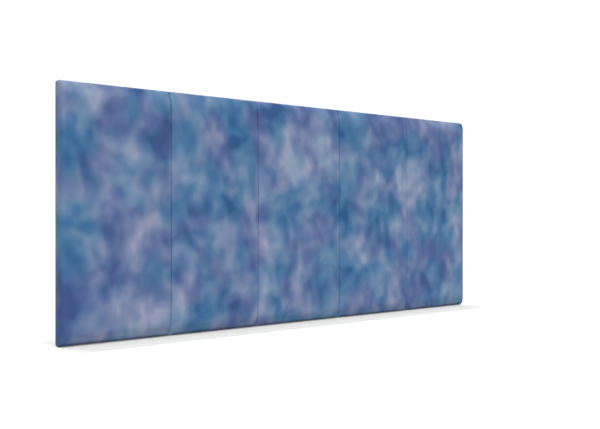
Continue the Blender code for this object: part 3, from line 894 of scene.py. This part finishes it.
def stapleRow(name, first, places):
    # copies of the first staple, each (x, z, turn in degrees), joined into one row
    parts = []
    for x, z, turn in places:
        copy = newPiece(name, first.data.copy())
        angle = math.radians(turn)
        for vert in copy.data.vertices:
            u, v = vert.co.x, vert.co.z
            vert.co.x = x + u * math.cos(angle) - v * math.sin(angle)
            vert.co.z = z + u * math.sin(angle) + v * math.cos(angle)
            vert.co.y += padBack + staple["flat"] * staple["proud"]
        parts.append(copy)
    only(parts[0])
    for part in parts:
        part.select_set(True)
    bpy.ops.object.join()
    row = bpy.context.object
    row.name = row.data.name = name
    return row


def makeStaples(material):
    first = makeFirstStaple()
    draw = random.Random(staple["seed"])
    inX, inZ = halfWidth - staple["rowIn"], halfHeight - staple["rowIn"]
    rows = []
    for name, side, alongX, reach in (
            ("top", 1, True, halfWidth), ("bottom", -1, True, halfWidth),
            ("left", -1, False, halfHeight), ("right", 1, False, halfHeight)):
        run = reach - staple["clearOfCorner"]
        count = round(2 * run / staple["pitch"])
        places = []
        for index in range(count + 1):
            along = -run + 2 * run * index / count + draw.uniform(-1, 1) * staple["wander"]
            off = draw.uniform(-1, 1) * staple["wander"]
            turn = draw.uniform(-1, 1) * staple["sway"]
            if alongX:
                places.append((padCentre.x + along, padCentre.z + side * (inZ + off), turn))
            else:
                places.append((padCentre.x + side * (inX + off), padCentre.z + along, 90 + turn))
        rows.append(stapleRow(f"staples_{name}", first, places))
    for row in rows:
        row.data.materials.append(material)
        row.data.shade_flat()
        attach(row, "pad")
    bpy.data.objects.remove(first)
    print("staples ready")


makeStaples(galvanisedSteel())


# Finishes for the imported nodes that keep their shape.
plywood = {
    "faceColours": ((0.15, "#DDCAA9"), (0.55, "#DAC5A1"), (0.9, "#D4BC95"), (1.0, "#CFB58B")),
    "edgeColours": ((0.42, "#CDB083"), (0.58, "#96703F")),
    "ply": 1.4 * mm,                    # thickness of one veneer
    # the rotary-cut figure: a swirl stretched along the board, cut into bands about 55 mm apart
    "figureStretch": 0.16, "figureSize": 312.5 * mm, "figureWander": 0.5, "figureBands": 34.545,
    "fibreStretch": 0.03, "fibreSize": 2.2 * mm, "fibreShare": 0.55, "fibreDepth": 0.08 * mm,
    "roughness": 0.62,
}


def birchPlywood():
    # sanded birch plywood: pale honey, rotary-cut figure running with the board's length,
    # dark and light layers on its edges
    material, tree, shader = newMaterial("sanded birch plywood")
    place = addNode(tree, "ShaderNodeTexCoord").outputs["Object"]
    drawn = addNode(tree, "ShaderNodeMapping", {}, {
        "Vector": place, "Scale": (plywood["figureStretch"], 1.0, 1.0)}).outputs["Vector"]
    swirl = addNode(tree, "ShaderNodeTexNoise", {}, {
        "Vector": drawn, "Scale": 1 / plywood["figureSize"], "Detail": 2.0,
        "Distortion": plywood["figureWander"]}).outputs["Fac"]
    rings = addNode(tree, "ShaderNodeMath", {"operation": "MULTIPLY"}, {0: swirl, 1: plywood["figureBands"]})
    bands = addNode(tree, "ShaderNodeMath", {"operation": "PINGPONG"}, {0: rings.outputs["Value"], 1: 1.0})
    combed = addNode(tree, "ShaderNodeMapping", {}, {
        "Vector": place, "Scale": (plywood["fibreStretch"], 1.0, 1.0)}).outputs["Vector"]
    fibres = addNode(tree, "ShaderNodeTexNoise", {}, {
        "Vector": combed, "Scale": 1 / plywood["fibreSize"], "Detail": 3.0,
        "Roughness": 0.65}).outputs["Fac"]
    mixed = addNode(tree, "ShaderNodeMath", {"operation": "MULTIPLY_ADD"}, {
        0: fibres, 1: plywood["fibreShare"], 2: bands.outputs["Value"]}).outputs["Value"]
    face = fillRamp(addNode(tree, "ShaderNodeValToRGB", {}, {"Fac": mixed}), plywood["faceColours"])

    depth = addNode(tree, "ShaderNodeSeparateXYZ", {}, {"Vector": place}).outputs["Y"]
    layers = addNode(tree, "ShaderNodeMath", {"operation": "PINGPONG"}, {0: depth, 1: plywood["ply"]})
    layer = addNode(tree, "ShaderNodeMapRange", {}, {
        "Value": layers.outputs["Value"], "From Max": plywood["ply"]}).outputs["Result"]
    edge = fillRamp(addNode(tree, "ShaderNodeValToRGB", {}, {"Fac": layer}), plywood["edgeColours"])

    # the figure shows on the board's two faces, and the layers on its edges
    normal = addNode(tree, "ShaderNodeTexCoord").outputs["Normal"]
    facing = addNode(tree, "ShaderNodeSeparateXYZ", {}, {"Vector": normal}).outputs["Y"]
    isFace = addNode(tree, "ShaderNodeMath", {"operation": "ABSOLUTE"}, {0: facing}).outputs["Value"]
    blend = addNode(tree, "ShaderNodeMix", {"data_type": "RGBA"}, {
        "Factor": isFace, 6: edge.outputs["Color"], 7: face.outputs["Color"]})
    bump = addNode(tree, "ShaderNodeBump", {}, {"Height": fibres, "Distance": plywood["fibreDepth"]})
    setInputs(tree, shader, {
        "Base Color": blend.outputs[2], "Normal": bump.outputs["Normal"],
        "Roughness": plywood["roughness"]})
    return material


aluminium = {
    "colours": ((0.3, "#A9ACB0"), (0.5, "#B9BBBE"), (0.7, "#C9CBCC")),
    "lineStretch": 0.004, "lineSpacing": 1.5 * mm,  # die lines; the real ones are finer
    "lineDepth": 0.03 * mm,
    "handlingSize": 71.4 * mm, "roughness": (0.30, 0.46),
}


def extrudedAluminium():
    # mill-finish extrusion: cool grey metal with long die lines that stretch its reflections
    material, tree, shader = newMaterial("mill-finish aluminium extrusion")
    place = addNode(tree, "ShaderNodeTexCoord").outputs["Object"]
    drawn = addNode(tree, "ShaderNodeMapping", {}, {
        "Vector": place, "Scale": (aluminium["lineStretch"], 1.0, 1.0)}).outputs["Vector"]
    lines = addNode(tree, "ShaderNodeTexNoise", {}, {
        "Vector": drawn, "Scale": 1 / aluminium["lineSpacing"], "Detail": 4.0,
        "Roughness": 0.7}).outputs["Fac"]
    handling = addNode(tree, "ShaderNodeTexNoise", {}, {
        "Vector": place, "Scale": 1 / aluminium["handlingSize"], "Detail": 3.0}).outputs["Fac"]
    tones = fillRamp(addNode(tree, "ShaderNodeValToRGB", {}, {"Fac": lines}), aluminium["colours"])
    rough = addNode(tree, "ShaderNodeMapRange", {}, {
        "Value": handling, "From Min": 0.3, "From Max": 0.7,
        "To Min": aluminium["roughness"][0], "To Max": aluminium["roughness"][1]})
    bump = addNode(tree, "ShaderNodeBump", {}, {"Height": lines, "Distance": aluminium["lineDepth"]})
    setInputs(tree, shader, {
        "Base Color": tones.outputs["Color"], "Roughness": rough.outputs["Result"],
        "Normal": bump.outputs["Normal"], "Metallic": 1.0})
    return material


zinc = {
    "colours": ((0.3, "#C8C09E"), (0.5, "#CDCDC8"), (0.7, "#B4BFCB")),
    "filmSize": 3.85 * mm, "roughness": (0.22, 0.4),
}


def zincPlatedSteel():
    # bright zinc plating with a thin passivation: silver that goes from straw to faint blue
    material, tree, shader = newMaterial("bright zinc-plated steel")
    place = addNode(tree, "ShaderNodeTexCoord").outputs["Object"]
    film = addNode(tree, "ShaderNodeTexNoise", {}, {
        "Vector": place, "Scale": 1 / zinc["filmSize"], "Detail": 2.0}).outputs["Fac"]
    tones = fillRamp(addNode(tree, "ShaderNodeValToRGB", {}, {"Fac": film}), zinc["colours"])
    rough = addNode(tree, "ShaderNodeMapRange", {}, {
        "Value": film, "To Min": zinc["roughness"][0], "To Max": zinc["roughness"][1]})
    setInputs(tree, shader, {
        "Base Color": tones.outputs["Color"], "Roughness": rough.outputs["Result"], "Metallic": 1.0})
    return material


rubber = {
    "colours": ((0.4, "#1E1E1F"), (0.75, "#303031")),
    "bloomSize": 8.33 * mm,
    "pitSize": 0.7 * mm, "pitDepth": 0.12 * mm,
    "roughness": 0.78,
}


def mouldedRubber():
    # moulded natural rubber with carbon black: matt, with a spark-eroded mould's fine pitting
    material, tree, shader = newMaterial("moulded black rubber")
    place = addNode(tree, "ShaderNodeTexCoord").outputs["Object"]
    pits = addNode(tree, "ShaderNodeTexNoise", {}, {
        "Vector": place, "Scale": 1 / rubber["pitSize"], "Detail": 2.0}).outputs["Fac"]
    bloom = addNode(tree, "ShaderNodeTexNoise", {}, {
        "Vector": place, "Scale": 1 / rubber["bloomSize"], "Detail": 2.0}).outputs["Fac"]
    tones = fillRamp(addNode(tree, "ShaderNodeValToRGB", {}, {"Fac": bloom}), rubber["colours"])
    bump = addNode(tree, "ShaderNodeBump", {}, {"Height": pits, "Distance": rubber["pitDepth"]})
    setInputs(tree, shader, {
        "Base Color": tones.outputs["Color"], "Normal": bump.outputs["Normal"],
        "Roughness": rubber["roughness"]})
    return material


def finishNodes():
    metal = extrudedAluminium()
    finishes = (
        ("backer_board", birchPlywood()), ("pad_rail", metal), ("wall_rail", metal),
        ("rail_screw", zincPlatedSteel()), ("wall_bumper", mouldedRubber()))
    for start, material in finishes:
        for name, node in nodes.items():
            if name.startswith(start):
                node.data.materials.clear()
                node.data.materials.append(material)
    print("packed nodes finished")


finishNodes()
